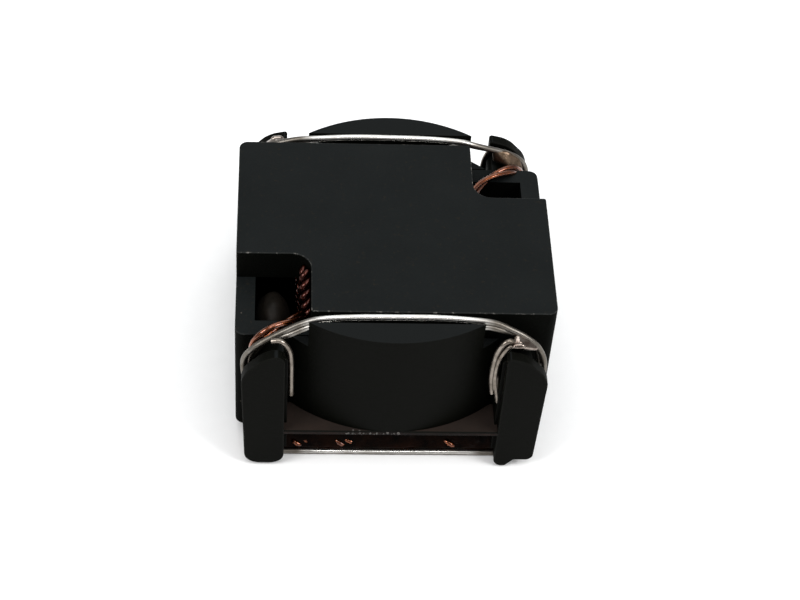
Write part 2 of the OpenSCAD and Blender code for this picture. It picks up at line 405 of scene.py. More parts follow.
DUST = (0.05, 0.045, 0.036, 1)
ferrite_fired = ferrite("fired ferrite", (0.0009, 0.0011, 0.0008, 1), (0.0027, 0.0029, 0.0023, 1),
                        (0.007, 0.007, 0.006, 1), 0.72, 0.012)
# The ground top is a lighter, bluer copy of the fired ferrite: painted sheen.
ferrite_ground_sheen = ferrite("ground ferrite with painted sheen", (0.0016, 0.0026, 0.0027, 1),
                         (0.0066, 0.0078, 0.0078, 1), (0.009, 0.008, 0.006, 1), 0.6, 0.08)
# The edges are a lighter copy as well: a painted highlight, with chips on it.
ferrite_edge_highlight = ferrite("chipped ferrite edge", (0.006, 0.007, 0.007, 1),
                       (0.014, 0.015, 0.014, 1), (0.115, 0.11, 0.10, 1), 0.56, 0.1)
print("ferrite finishes:", ferrite_fired.name, "/", ferrite_ground_sheen.name, "/", ferrite_edge_highlight.name)

# %% [markdown]
# ## Moulded plastic
#
# The header is a black high-temperature moulding with a dull skin. All that faces
# up is painted lighter and bluer, a painted sheen, and its rounded edges are made
# lighter than its faces. The deck also has a brown film of varnish that ran down
# from the coil, which is laid by height.


# %% Moulded plastic finishes
def moulded(name, dark, light, top_sheen, film):
    """Black moulding; top_sheen is the painted sheen on what faces up, film the varnish on the
    deck.
    """
    material, tree, shader, place = new_material(name)
    skin = use(tree, grain, {"Place": place, "Size": 0.2})
    dust = use(tree, specks, {"Place": place, "Spacing": 0.9, "Radius": 0.025, "Share": 0.1})
    colour = blend(tree, skin["Tone"], dark, light)
    facing = put(tree, "NewGeometry").outputs["Normal"]
    up = put(tree, "SeparateXYZ", {"Vector": facing}).outputs["Z"]
    flat = put(tree, "MapRange", {"Value": up, "From Min": 0.98, "From Max": 0.998}).outputs[0]
    # Faces that point up get a lighter, bluer colour: painted sheen.
    colour = blend(tree, flat, colour, top_sheen)
    height = put(tree, "SeparateXYZ", {"Vector": place}).outputs["Z"]
    below = math_node(tree, "LESS_THAN", height, DECK_FILM_TOP)
    streaks = use(tree, patches, {"Place": place, "Size": 1.1, "From": 0.2, "To": 0.75})
    thick = math_node(tree, "ADD", 0.5, math_node(tree, "MULTIPLY", streaks["Mask"], 0.5))
    amount = math_node(tree, "MULTIPLY", math_node(tree, "MULTIPLY", flat, below), thick)
    colour = blend(tree, amount, colour, film)
    colour = blend(tree, dust["Mask"], colour, DUST)
    rough = put(tree, "MapRange", {"Value": skin["Tone"], "To Min": 0.5, "To Max": 0.65})
    dress(tree, shader, colour, rough.outputs[0], skin["Height"], 0.22, 0.03)
    shader.inputs["Specular IOR Level"].default_value = 0.035
    return material


DECK_FILM_TOP = 2.6
plastic_face = moulded("moulded plastic", (0.0008, 0.0009, 0.0005, 1),
                       (0.0023, 0.0025, 0.0016, 1), (0.0070, 0.0079, 0.0079, 1),
                       (0.0230, 0.0160, 0.0130, 1))
# The rounded edges of the header are made lighter than its faces.
plastic_edge = moulded("lighter plastic edge", (0.0026, 0.0027, 0.0022, 1),
                       (0.0058, 0.0060, 0.0048, 1), (0.011, 0.0115, 0.011, 1),
                       (0.020, 0.014, 0.011, 1))
print("plastic finishes:", plastic_face.name, "/", plastic_edge.name)

# %% [markdown]
# ## Copper, tin and solder
#
# Enamelled copper is metal under a clear amber coat. Where the pair was dipped in
# solder, the copper is covered in dull tin, with bright patches where it flowed.
# The long wire is made darker and duller towards the posts, and its underside is
# darkened as painted shade. The coil's copper is a darker copy of the copper,
# painted shade for its place deep in the notches.


# %% Metal finishes
def metal(name, dark, light, rough_low, rough_high, size, depth, coat, dim_colour=None):
    """A drawn or dipped metal with an uneven skin; dim_colour is what it darkens to near the posts
    and, as painted shade, on its underside.
    """
    material, tree, shader, place = new_material(name)
    cloudy = use(tree, patches, {"Place": place, "Size": size, "From": 0.3, "To": 0.7})
    skin = use(tree, grain, {"Place": place, "Size": size * 0.35})
    colour = blend(tree, cloudy["Mask"], dark, light)
    if dim_colour:
        axes = put(tree, "SeparateXYZ", {"Vector": place}).outputs
        aside = put(tree, "MapRange", {"Value": math_node(tree, "ABSOLUTE", axes["X"]),
                                       "From Min": DIM_FROM, "From Max": DIM_FULL})
        # Low on the wire, its underside is darkened: painted shade.
        under = put(tree, "MapRange", {"Value": axes["Z"], "From Min": SHADE_UNDER_FROM,
                                       "From Max": SHADE_UNDER_FULL})
        worst = math_node(tree, "MAXIMUM", aside.outputs[0], under.outputs[0])
        patchy = math_node(tree, "MULTIPLY", cloudy["Mask"], DIM_PATCHY)
        shade = math_node(tree, "MULTIPLY", worst, math_node(tree, "SUBTRACT", 1.0, patchy))
        colour = blend(tree, shade, colour, dim_colour)
    rough = put(tree, "MapRange", {"Value": cloudy["Mask"], "To Min": rough_high,
                                   "To Max": rough_low}).outputs[0]
    if dim_colour:
        rough = math_node(tree, "ADD", rough, math_node(tree, "MULTIPLY", worst, DIM_ROUGH))
    dress(tree, shader, colour, rough, skin["Height"], 0.4, depth)
    shader.inputs["Metallic"].default_value = 1
    shader.inputs["Coat Weight"].default_value = coat
    shader.inputs["Coat Roughness"].default_value = 0.07
    return material


DIM_FROM = 2.7
DIM_FULL = 3.7
DIM_PATCHY = 0.16
DIM_ROUGH = 0.14
# Heights below which the wire's underside is darkened, a painted shade.
SHADE_UNDER_FROM = 0.205
SHADE_UNDER_FULL = 0.15
copper = metal("enamelled copper", (0.07, 0.015, 0.004, 1), (0.25, 0.066, 0.016, 1),
               0.20, 0.34, 0.5, 0.012, 1.0)
# The coil's copper is a darker copy of the copper: painted shade for its place deep in the notches.
coil_copper_shaded = metal("varnished copper with painted shade", (0.016, 0.0025, 0.0012, 1), (0.055, 0.011, 0.0055, 1),
                    0.22, 0.38, 0.6, 0.012, 0.3)
tin = metal("tinned wire", (0.52, 0.50, 0.46, 1), (0.92, 0.90, 0.87, 1),
            0.2, 0.34, 0.7, 0.015, 0.0, dim_colour=(0.115, 0.10, 0.082, 1))
dull_tin = metal("dull dipped wire", (0.12, 0.10, 0.08, 1), (0.33, 0.29, 0.25, 1),
                 0.26, 0.42, 0.4, 0.02, 0.0)
solder = metal("flowed solder", (0.10, 0.07, 0.055, 1), (0.42, 0.37, 0.33, 1),
               0.08, 0.2, 0.4, 0.02, 0.0)
fluxed = metal("fluxed solder", (0.045, 0.030, 0.018, 1), (0.17, 0.12, 0.085, 1),
               0.3, 0.5, 0.25, 0.03, 0.0)
print("metal finishes:", copper.name, "/", coil_copper_shaded.name, "/", tin.name, "/", dull_tin.name,
      "/", solder.name, "/", fluxed.name)

# %% [markdown]
# ## Varnish, cement and glue residue
#
# Three soft things were put on wet and set hard: brown varnish that runs under the
# deck and holds the pair there, a grey-brown dome of cement in the notch, and a
# crumbly whitish line of glue on the deck's front edge. All three are lumpy
# dielectrics, so one recipe with a gloss and two colours makes them.


# %% Set compounds
def compound(name, dark, light, size, rough_low, rough_high, gloss):
    """A hardened drip or fillet with a lumpy skin."""
    material, tree, shader, place = new_material(name)
    cloudy = use(tree, patches, {"Place": place, "Size": size, "From": 0.35, "To": 0.65})
    skin = use(tree, grain, {"Place": place, "Size": size * 0.4})
    colour = blend(tree, cloudy["Mask"], dark, light)
    rough = put(tree, "MapRange", {"Value": skin["Tone"], "To Min": rough_low,
                                   "To Max": rough_high})
    dress(tree, shader, colour, rough.outputs[0], skin["Height"], 0.4, 0.05)
    shader.inputs["Specular IOR Level"].default_value = gloss
    return material


varnish = compound("brown varnish", (0.0014, 0.0006, 0.0003, 1), (0.0085, 0.0028, 0.0013, 1),
                   0.7, 0.15, 0.35, 0.06)
cement = compound("brown cement", (0.0040, 0.0036, 0.0027, 1), (0.011, 0.0082, 0.0062, 1),
                  1.0, 0.45, 0.65, 0.1)
residue = compound("glue residue", (0.010, 0.009, 0.008, 1), (0.12, 0.11, 0.103, 1),
                   0.22, 0.5, 0.8, 0.2)
print("set compounds:", varnish.name, "/", cement.name, "/", residue.name)

# %% [markdown]
# ## Lid and cup
#
# These two have plain prismatic forms, and the solids hold them exactly. What is
# missing is the small broken edge that catches the light. A copy of each solid is
# merged into one skin, its flat faces are cleared of triangles, and its edges are
# bevelled in edit mode. The worn edges get a lighter finish of their own in the same
# step, chips with a painted highlight, while the edges where lid and cup meet stay
# as dark as the faces. The lid's top is ground, so it has a third finish, painted
# lighter and bluer as a painted sheen.


# %% Broken edges on lid and cup
FIRED, GROUND_SHEEN, CHIPPED_HIGHLIGHT = range(3)
CHIP_W = 0.035
CRISP = 14


def is_sharp(side):
    return side.is_manifold and side.calc_face_angle() > math.radians(32)


def merged_copy(node, name):
    """A copy of a solid in millimetres with its flat faces free of triangles."""
    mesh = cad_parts[node].data.copy()
    mesh.materials.clear()
    for finish in (ferrite_fired, ferrite_ground_sheen, ferrite_edge_highlight):
        mesh.materials.append(finish)
    piece = bpy.data.objects.new(name, mesh)
    scene.collection.objects.link(piece)
    take(piece)
    piece.scale = (1 / MM, 1 / MM, 1 / MM)
    bpy.ops.object.transform_apply(location=False, rotation=False, scale=True)
    edit(piece, "VERT")
    bpy.ops.mesh.select_all(action="SELECT")
    bpy.ops.mesh.remove_doubles(threshold=0.002)
    bpy.ops.mesh.dissolve_limited(angle_limit=math.radians(1.5))
    leave()
    for polygon in piece.data.polygons:
        top = polygon.normal.z > 0.9 and polygon.center.z > rim_z - 0.1
        # Top faces take the ground finish with its painted sheen.
        polygon.material_index = GROUND_SHEEN if top else FIRED
    return piece


def is_open_rim_edge(side):
    """The cup's rim where a notch of the lid leaves it open."""
    middle = (side.verts[0].co + side.verts[1].co) / 2
    open_corner = middle.x * middle.y > 0 and abs(middle.x) > NOTCH_FROM_X
    outside = abs(middle.x) > half_w - 0.5 or abs(middle.y) > half_d - 0.5
    return is_sharp(side) and middle.z > rim_z - 0.05 and open_corner and outside


NOTCH_FROM_X = 3.3
lid = merged_copy("ferrite_lid", "ground_lid")
# The lid's top edges take the chipped finish with its painted highlight.
round_off(lid, lambda side: is_sharp(side) and side.verts[0].co.z > core_top - 0.05
          and side.verts[1].co.z > core_top - 0.05, CHIP_W, 2, CHIPPED_HIGHLIGHT)
settle(lid, ["ferrite_lid"], smooth=CRISP)
cup = merged_copy("ferrite_cup", "fired_cup")
# The open rim edges take the chipped finish and its painted highlight.
round_off(cup, is_open_rim_edge, CHIP_W, 2, CHIPPED_HIGHLIGHT)
settle(cup, ["ferrite_cup"], smooth=CRISP)

# %% [markdown]
# ## The header, piece by piece
#
# The header is one moulding, but it is easiest to model as the plates that a tool
# maker would cut: the curved wall with its lip, the deck and apron, the base, and
# four posts. Each starts as a cube or cylinder at its own size, is sliced and bent
# to its outline, and gets its edges rounded last. A clean curved wall matters most,
# because it is the largest smooth face in view.

# %% Curved wall and lip
APRON_BACK = half_d + 0.05
APRON_T = 0.24
LIP_BACK = 5.1
DECK_TOP = 2.2
DECK_T = 0.22
MOULD_EDGE = 0.05
MOULDED, LIGHTER_EDGE, VARNISHED = range(3)


def finish_moulding(piece, width=MOULD_EDGE):
    """Rounds what is still sharp and hands the piece over as a part of the header."""
    if not piece.data.materials:
        piece.data.materials.append(plastic_face)
        piece.data.materials.append(plastic_edge)
    apply_modifier(piece, "BEVEL", width=width, segments=3, limit_method="ANGLE",
                   angle_limit=math.radians(50), material=LIGHTER_EDGE, use_clamp_overlap=True)
    settle(piece, ["header"], smooth=CRISP)


bpy.ops.mesh.primitive_cylinder_add(vertices=240, radius=face_y - 0.02,
                                    depth=rim_z - DECK_TOP + 0.02,
                                    location=(0, 0, (rim_z + DECK_TOP - 0.02) / 2))
wall = bpy.context.object
wall.name = "front_curved_wall"
slice_at(wall, (0, -APRON_BACK, 0), (0, 1, 0), clear=True)
slice_at(wall, (0, -LIP_BACK, 0), (0, 1, 0))
edit(wall, "FACE")
pick(wall, "faces", lambda face: face.normal.z > 0.9 and face.calc_center_median().y < -LIP_BACK)
bpy.ops.mesh.extrude_region_move(TRANSFORM_OT_translate={"value": (0, 0, core_top - rim_z)})
leave()
rear_wall = duplicate(wall, "rear_curved_wall", turned=True)
finish_moulding(wall)
finish_moulding(rear_wall)

# %% Deck, apron and base plate
deck = block("front_deck", (-4.4, -face_y + 0.02, DECK_TOP - DECK_T),
             (4.4, -APRON_BACK, DECK_TOP))
for finish in (plastic_face, plastic_edge, varnish):
    deck.data.materials.append(finish)
for polygon in deck.data.polygons:
    polygon.material_index = VARNISHED if polygon.normal.y < -0.9 else MOULDED
rear_deck = duplicate(deck, "rear_deck", turned=True)
apron = block("front_apron", (-4.8, -APRON_BACK - APRON_T, base_low),
              (4.8, -APRON_BACK, DECK_TOP - 0.1))
rear_apron = duplicate(apron, "rear_apron", turned=True)
base = block("base_plate", (-5.6, -APRON_BACK - APRON_T, base_low),
             (5.6, APRON_BACK + APRON_T, cup_low[2]))
for plate in (deck, rear_deck, apron, rear_apron, base):
    finish_moulding(plate)

# %% Posts
POST_W = 1.68
POST_LOW = 0.15
POST_TOP = 6.75
HEAD_T = 0.46
CROWN_W = 0.8
CROWN_FALL = 0.2
SHOULDER_FALL = 1.2
FOOT_TAPER = 0.13
CROWN_R = 0.36
SHOULDER_R = 0.45
BREAK_X = 4.68
BREAK_W = 0.42
BREAK_DROP = 0.07
BREAK_RISE = 0.33
NECK_IN = 4.1
NECK_OUT = 5.4
NECK_LOW = 0.64
NECK_TOP = 6.15
post_in = post_out - POST_W
head_back = face_y - HEAD_T
crown_x = post_in + CROWN_W


def at_edge(x, z, slack=0.06):
    """Finds the edge that runs from front to back at a place in X and Z."""
    def wanted(side):
        first, second = side.verts[0].co, side.verts[1].co
        along = abs(first.y - second.y) > 0.2
        return along and abs(first.x - x) < slack and abs(first.z - z) < slack
    return wanted


def post_head(name, inner_r=0.15, broken_foot=False):
    """The head plate of the front right post."""
    head = block(name, (post_in, -face_y, POST_LOW), (post_out, -head_back, POST_TOP))
    slice_at(head, (crown_x, 0, 0), (1, 0, 0))
    shift(head, lambda corner: corner.co.x > post_out - 0.01 and corner.co.z > 1,
          (0, 0, -SHOULDER_FALL))
    shift(head, lambda corner: abs(corner.co.x - crown_x) < 0.01 and corner.co.z > 1,
          (0, 0, -CROWN_FALL))
    shift(head, lambda corner: corner.co.x > post_out - 0.01 and corner.co.z < 1,
          (-FOOT_TAPER, 0, 0))
    if broken_foot:
        slice_at(head, (BREAK_X, 0, 0), (1, 0, 0))
        slice_at(head, (BREAK_X + BREAK_W, 0, 0), (1, 0, 0))
        shift(head, lambda corner: corner.co.z < 1 and corner.co.x < BREAK_X + 0.01,
              (0, 0, -BREAK_DROP))
        shift(head, lambda corner: corner.co.z < 1 and corner.co.x > BREAK_X + 0.2,
              (0, 0, BREAK_RISE))
    edit(head, "FACE")
    bpy.ops.mesh.select_all(action="SELECT")
    bpy.ops.mesh.dissolve_limited(angle_limit=math.radians(1))
    leave()
    foot = BREAK_RISE if broken_foot else 0
    in_foot_r, out_foot_r = (0.34, 0.3) if broken_foot else (0.5, 0.55)
    round_off(head, at_edge(crown_x, POST_TOP - CROWN_FALL), CROWN_R)
    round_off(head, at_edge(post_out, POST_TOP - SHOULDER_FALL), SHOULDER_R)
    round_off(head, at_edge(post_in, POST_TOP), inner_r)
    round_off(head, at_edge(post_in, POST_LOW, 0.1), in_foot_r)
    round_off(head, at_edge(post_out - FOOT_TAPER, POST_LOW + foot, 0.1), out_foot_r)
    return head


def post_neck(name):
    """The neck behind the head, which the wires wrap round."""
    neck = block(name, (NECK_IN, -head_back - 0.02, NECK_LOW), (NECK_OUT, -APRON_BACK, NECK_TOP))
    round_off(neck, at_edge(NECK_OUT, NECK_TOP), 1.1)
    round_off(neck, at_edge(NECK_IN, NECK_TOP), 0.35)
    return neck


def place_copy(model, name, mirrored=False, turned=False):
    """Puts a finished copy of a model post where it belongs."""
    finish_moulding(duplicate(model, name, mirrored=mirrored, turned=turned))


plain_head = post_head("model_head")
soft_head = post_head("model_soft_head", inner_r=0.45)
neck = post_neck("model_neck")
finish_moulding(post_head("front_right_post", broken_foot=True))
place_copy(soft_head, "front_left_post", mirrored=True)
place_copy(plain_head, "rear_left_post", turned=True)
place_copy(plain_head, "rear_right_post", mirrored=True, turned=True)
place_copy(neck, "front_right_neck")
place_copy(neck, "front_left_neck", mirrored=True)
place_copy(neck, "rear_left_neck", turned=True)
place_copy(neck, "rear_right_neck", mirrored=True, turned=True)
for model in (plain_head, soft_head, neck):
    bpy.data.objects.remove(model)
print("posts from X", round(post_in, 2), "to", round(post_out, 2))

# %% [markdown]
# ## Bending wire
#
# A wire is a curve with a round section, turned into a mesh. The route is a short
# list of points that it passes through, and the line between them is drawn so that
# it flows as bent wire does. The rear end of the part is nearly the front turned
# half way round, so one list serves both where the two ends are alike.


# %% Flowing routes
def flowing_route(places, closed=False, steps=6):
    """A smooth line through given points, with no overshoot between them."""
    points = [Vector(place) for place in places]
    count = len(points)

    def slope(index):
        before = points[index - 1] if closed or index else points[index]
        after = points[(index + 1) % count] if closed or index < count - 1 else points[index]
        run = (points[index] - before).length + (after - points[index]).length
        return (after - before) / run

    route = []
    for index in range(count if closed else count - 1):
        start, end = points[index], points[(index + 1) % count]
        span = (end - start).length
        leaving, arriving = slope(index) * span, slope((index + 1) % count) * span
        for step in range(steps):
            t = step / steps
            route.append((2 * t**3 - 3 * t**2 + 1) * start + (t**3 - 2 * t**2 + t) * leaving
                         + (3 * t**2 - 2 * t**3) * end + (t**3 - t**2) * arriving)
    if not closed:
        route.append(points[-1])
    return route


def even_route(points, spacing):
    """The same route with evenly spaced points."""
    marks = [0.0]
    for first, second in zip(points, points[1:]):
        marks.append(marks[-1] + (second - first).length)
    count = max(2, round(marks[-1] / spacing))
    route = []
    leg = 0
    for step in range(count + 1):
        target = marks[-1] * step / count
        while leg < len(marks) - 2 and marks[leg + 1] < target:
            leg += 1
        share = (target - marks[leg]) / (marks[leg + 1] - marks[leg])
        route.append(points[leg].lerp(points[leg + 1], share))
    return route


def half_turn(points):
    """The same route at the other end of the part."""
    return [Vector((-point.x, -point.y, point.z)) for point in points]


def bend_wire(name, routes, radius, finish, closed=False, sides=3):
    """Round wires along routes, as one mesh; sides is the curve's bevel resolution."""
    curve = bpy.data.curves.new(name, "CURVE")
    curve.dimensions = "3D"
    curve.bevel_depth = radius
    curve.bevel_resolution = sides
    curve.use_fill_caps = True
    for route in routes:
        spline = curve.splines.new("POLY")
        spline.points.add(len(route) - 1)
        for point, place in zip(spline.points, route):
            point.co = (*place, 1)
        spline.use_cyclic_u = closed
    wire = bpy.data.objects.new(name, curve)
    scene.collection.objects.link(wire)
    take(wire)
    bpy.ops.object.convert(target="MESH")
    wire = bpy.context.object
    wire.data.materials.clear()
    wire.data.materials.append(finish)
    edit(wire, "VERT")
    bpy.ops.mesh.select_all(action="SELECT")
    bpy.ops.mesh.remove_doubles(threshold=0.001)
    face_outward()
    leave()
    return wire


print("wire tools ready")

# %% [markdown]
# ## The twisted pair
#
# Both windings are laid together as a pair of strands. On the coil, where it rises
# in the notch and under the deck, the pair is twisted tight. Between those it has
# been pulled straight, so its two strands turn round each other only once in 5 mm.

# %% Twisting two strands
STRAND_R = 0.12
PAIR_OFFSET = 0.118
TIGHT_PITCH = 0.9
RISE_PITCH = 0.76
RISE_R = 0.155
LEAD_PITCH = 5.0
TIGHT_STEP = 0.08
RISE_STEP = 0.06
LEAD_STEP = 0.1
WIRE_SMOOTH = 80


def twisted(points, pitch, spacing, offset=PAIR_OFFSET, phase=0.0):
    """The routes of two strands twisted round a route; pitch is the length of one turn."""
    route = even_route(points, spacing)
    strands = [[], []]
    across = None
    run = 0.0
    for index, point in enumerate(route):
        ahead = route[min(index + 1, len(route) - 1)]
        back = route[max(index - 1, 0)]
        along = (ahead - back).normalized()
        if across is None:
            across = along.cross(Vector((0, 0, 1))).normalized()
        across = (across - along * across.dot(along)).normalized()
        up = along.cross(across)
        if index:
            run += (point - route[index - 1]).length
        for side, strand in enumerate(strands):
            angle = phase + 2 * math.pi * run / pitch + math.pi * side
            strand.append(point + offset * (math.cos(angle) * across + math.sin(angle) * up))
    return strands


print("strand %.2f mm, one twist each %.1f mm in the leads" % (2 * STRAND_R, LEAD_PITCH))

# %% [markdown]
# ## The coil
#
# Through the two notches only the outermost layer of turns shows. It is wound here
# as one long helix of the twisted pair. The layers under it are a plain sleeve: a
# cylinder whose two ends are inset, opened and bridged into a bore.

# %% Outer layer of turns
coil_r = coil_high[0]
pair_r = STRAND_R + PAIR_OFFSET
rows = round((coil_high[2] - coil_low[2]) / (2 * pair_r))
row_rise = (coil_high[2] - coil_low[2] - 2 * pair_r) / (rows - 1)
turn_steps = 96
coil_start = math.radians(200)
helix = []
for step in range((rows - 1) * turn_steps + 1):
    angle = 2 * math.pi * step / turn_steps + coil_start
    helix.append(Vector(((coil_r - pair_r) * math.cos(angle), (coil_r - pair_r) * math.sin(angle),
                         coil_low[2] + pair_r + row_rise * step / turn_steps)))
coil = bend_wire("coil_outer_turns", twisted(helix, TIGHT_PITCH, TIGHT_STEP), STRAND_R, coil_copper_shaded,
                 sides=1)
settle(coil, ["winding"], smooth=WIRE_SMOOTH)
print("coil rows:", rows)

# %% Layers under it
BORE_R = 2.4
sleeve_r = coil_r - 2 * pair_r
sleeve_h = coil_high[2] - coil_low[2] - 2 * STRAND_R
bpy.ops.mesh.primitive_cylinder_add(vertices=96, radius=sleeve_r, depth=sleeve_h,
                                    location=(0, 0, (coil_low[2] + coil_high[2]) / 2))
sleeve = bpy.context.object
sleeve.name = "coil_inner_turns"
edit(sleeve, "FACE")
pick(sleeve, "faces", lambda face: abs(face.normal.z) > 0.9)
bpy.ops.mesh.inset(thickness=sleeve_r - BORE_R)
bpy.ops.mesh.delete(type="FACE")
bpy.ops.mesh.select_mode(type="EDGE")
pick(sleeve, "edges", lambda side: side.is_boundary)
bpy.ops.mesh.bridge_edge_loops()
face_outward()
leave()
sleeve.data.materials.append(coil_copper_shaded)
settle(sleeve, ["winding"])

# %% [markdown]
# ## The copper leads
#
# Each end of the coil leaves through a notch, passes over the cup's rim, hugs the
# tinned wires over a post's neck, and goes down behind the post. Under the deck it
# runs on to the far foot. The front one first rises and dips in its notch, where its
# twist shows coarse. In the notches both lie up to 1.8 mm from their solids.

# %% Leads
rise_points = [
    (-3.18, -1.62, 5.60), (-3.30, -1.80, 6.40), (-3.40, -1.92, 6.96), (-3.44, -2.15, 7.06),
    (-3.44, -2.50, 6.86), (-3.44, -2.86, 6.52), (-3.42, -3.10, 6.10), (-3.38, -3.20, 5.60)]
front_lead_points = [
    (-3.44, -3.30, 5.60), (-3.52, -3.52, 6.10), (-3.78, -3.86, 6.38), (-4.22, -4.28, 6.58),
    (-4.70, -4.64, 6.64), (-5.08, -4.84, 6.44), (-5.36, -4.92, 6.08), (-5.50, -4.94, 5.60),
    (-5.52, -4.94, 5.00), (-5.50, -4.94, 3.60), (-5.50, -4.94, 2.00), (-5.50, -4.98, 0.95),
    (-5.44, -5.02, 0.42), (-5.20, -5.04, 0.30)]
rear_lead_points = [
    (3.14, 1.66, 5.60), (3.18, 1.84, 6.20), (3.26, 2.26, 6.46), (3.40, 2.84, 6.50),
    (3.66, 3.36, 6.44), (4.06, 3.80, 6.44), (4.50, 4.12, 6.44), (4.92, 4.38, 6.36),
    (5.28, 4.62, 6.12), (5.48, 4.82, 5.70), (5.52, 4.92, 5.20), (5.50, 4.94, 3.60),
    (5.50, 4.94, 2.00), (5.50, 4.98, 0.95), (5.44, 5.02, 0.42), (5.20, 5.04, 0.30)]
under_points = [
    (-5.40, -5.03, 0.32), (-4.30, -5.04, 0.30), (-3.55, -5.20, 0.34), (-3.00, -5.04, 0.28),
    (-2.30, -5.05, 0.30), (-1.75, -5.19, 0.34), (-1.20, -5.04, 0.30), (0.40, -5.02, 0.30),
    (1.80, -5.04, 0.30), (2.50, -5.20, 0.36), (3.10, -5.04, 0.30), (5.40, -5.04, 0.30)]
LEAD_PHASE = math.radians(90)
rise_route = flowing_route(rise_points)
under_route = flowing_route(under_points)
rise = bend_wire("front_coil_end", twisted(rise_route, RISE_PITCH, RISE_STEP, RISE_R), RISE_R,
                 coil_copper_shaded, sides=2)
settle(rise, ["front_lead"], smooth=WIRE_SMOOTH)
for end, place, lead_points in (("front", list, front_lead_points),
                                ("rear", half_turn, rear_lead_points)):
    strands = twisted(flowing_route(lead_points), LEAD_PITCH, LEAD_STEP, phase=LEAD_PHASE)
    strands += twisted(place(under_route), TIGHT_PITCH, TIGHT_STEP)
    lead = bend_wire(end + "_copper_pair", strands, STRAND_R, copper, sides=2)
    settle(lead, [end + "_lead"], smooth=WIRE_SMOOTH)

# %% [markdown]
# ## The tinned wires
#
# The stripped and tinned pair is wrapped round the two posts of its end. One wire
# closes the whole ring, and its stretch under the deck is the solder terminal. The
# second strand lies under it along the top, and three cut tails hook over the posts.

# %% Tinned wires
WIRE_R = 0.12
TAIL_R = 0.11
REAR_TAIL_DROP = Vector((0, 0, -0.42))

ring_points = [
    (0.00, -4.85, 7.65), (1.50, -4.85, 7.65), (2.95, -4.86, 7.54), (3.75, -4.90, 7.43),
    (4.38, -5.00, 7.17), (4.95, -5.10, 6.87), (5.42, -5.18, 6.42), (5.70, -5.24, 5.80),
    (5.78, -5.28, 5.10), (5.64, -5.30, 4.00), (5.60, -5.32, 2.60), (5.60, -5.40, 1.40),
    (5.50, -5.48, 0.50), (5.15, -5.50, 0.17), (4.50, -5.50, 0.14), (2.00, -5.50, 0.15),
    (0.00, -5.50, 0.13), (-2.00, -5.50, 0.14), (-4.50, -5.50, 0.14), (-5.15, -5.50, 0.17),
    (-5.50, -5.48, 0.50), (-5.60, -5.40, 1.40), (-5.60, -5.32, 2.60), (-5.64, -5.30, 4.00),
    (-5.80, -5.28, 5.00), (-5.76, -5.25, 5.66), (-5.46, -5.24, 6.18), (-4.92, -5.15, 6.60),
    (-4.25, -5.00, 6.94), (-3.60, -4.88, 7.25), (-2.95, -4.85, 7.48), (-1.50, -4.85, 7.62)]
front_second_points = [
    (5.50, -5.50, 3.20), (5.46, -5.30, 4.60), (5.56, -5.12, 5.40), (5.38, -5.02, 6.22),
    (4.95, -4.95, 6.70), (4.42, -4.96, 6.96), (3.98, -4.98, 7.14), (3.48, -4.94, 7.26),
    (2.60, -4.84, 7.10), (0.00, -4.82, 6.95), (-2.20, -4.84, 7.08), (-2.95, -4.92, 7.28),
    (-3.55, -4.98, 7.06), (-4.10, -5.06, 6.80), (-4.60, -5.04, 6.60), (-5.00, -5.00, 6.40),
    (-5.44, -5.07, 6.02), (-5.68, -5.09, 5.50), (-5.66, -5.14, 4.95), (-5.50, -5.40, 3.20)]
rear_second_points = [
    (5.50, -5.50, 3.20), (5.54, -5.48, 4.60), (5.54, -5.44, 5.50), (5.32, -5.36, 6.16),
    (4.90, -5.24, 6.62), (4.42, -5.10, 6.92), (3.98, -5.02, 7.10), (3.48, -4.94, 7.26),
    (2.60, -4.84, 7.10), (0.00, -4.82, 6.95), (-2.20, -4.84, 7.08), (-2.95, -4.96, 7.28),
    (-3.55, -5.04, 7.06), (-4.15, -5.16, 6.80), (-4.75, -5.28, 6.48), (-5.20, -5.38, 6.04),
    (-5.44, -5.44, 5.50), (-5.50, -5.48, 4.60), (-5.50, -5.50, 3.20)]
tail_points = {
    "single_tail": [(-4.72, -5.42, 6.84), (-4.45, -5.46, 6.90), (-4.22, -5.50, 6.74),
                    (-4.06, -5.50, 6.38), (-3.99, -5.50, 5.80), (-3.97, -5.50, 4.80),
                    (-3.96, -5.50, 3.77)],
    "upper_tail": [(4.55, -5.32, 6.80), (4.27, -5.42, 7.00), (4.04, -5.48, 6.86),
                   (3.86, -5.50, 6.44), (3.78, -5.50, 5.74), (3.76, -5.50, 4.89),
                   (3.86, -5.50, 4.00)],
    "lower_tail": [(4.62, -5.40, 6.64), (4.34, -5.46, 6.74), (4.10, -5.50, 6.42),
                   (3.93, -5.50, 5.84), (3.90, -5.50, 5.02), (4.00, -5.50, 4.28),
                   (4.13, -5.50, 3.47)]}


def lowered(points):
    """The rear tails, which are bent lower over their posts."""
    return [point + REAR_TAIL_DROP for point in half_turn(points)]


for end in ("front", "rear"):
    place = half_turn if end == "rear" else list
    ring = bend_wire(end + "_wire_ring", [place(flowing_route(ring_points, closed=True))],
                     WIRE_R, tin, closed=True)
    settle(ring, [end + "_terminal"], smooth=WIRE_SMOOTH)
    second_points = rear_second_points if end == "rear" else front_second_points
    second = bend_wire(end + "_lower_strand", [place(flowing_route(second_points))], WIRE_R, tin)
    settle(second, [end + "_second_strand"], smooth=WIRE_SMOOTH)
    for tail_name, points in tail_points.items():
        place_tail = lowered if end == "rear" else list
        tail = bend_wire(end + "_tinned_" + tail_name, [place_tail(flowing_route(points))],
                         TAIL_R, dull_tin)
        settle(tail, [end + "_" + tail_name], smooth=WIRE_SMOOTH)

# %% [markdown]
# ## Solder webs
#
# Where the strands cross a post, solder has filled the gap between them with a thin
# web. A web is a skin stretched over a few balls at its corners: the balls are
# joined, wrapped in a convex hull, remeshed to a fine even grid and smoothed.


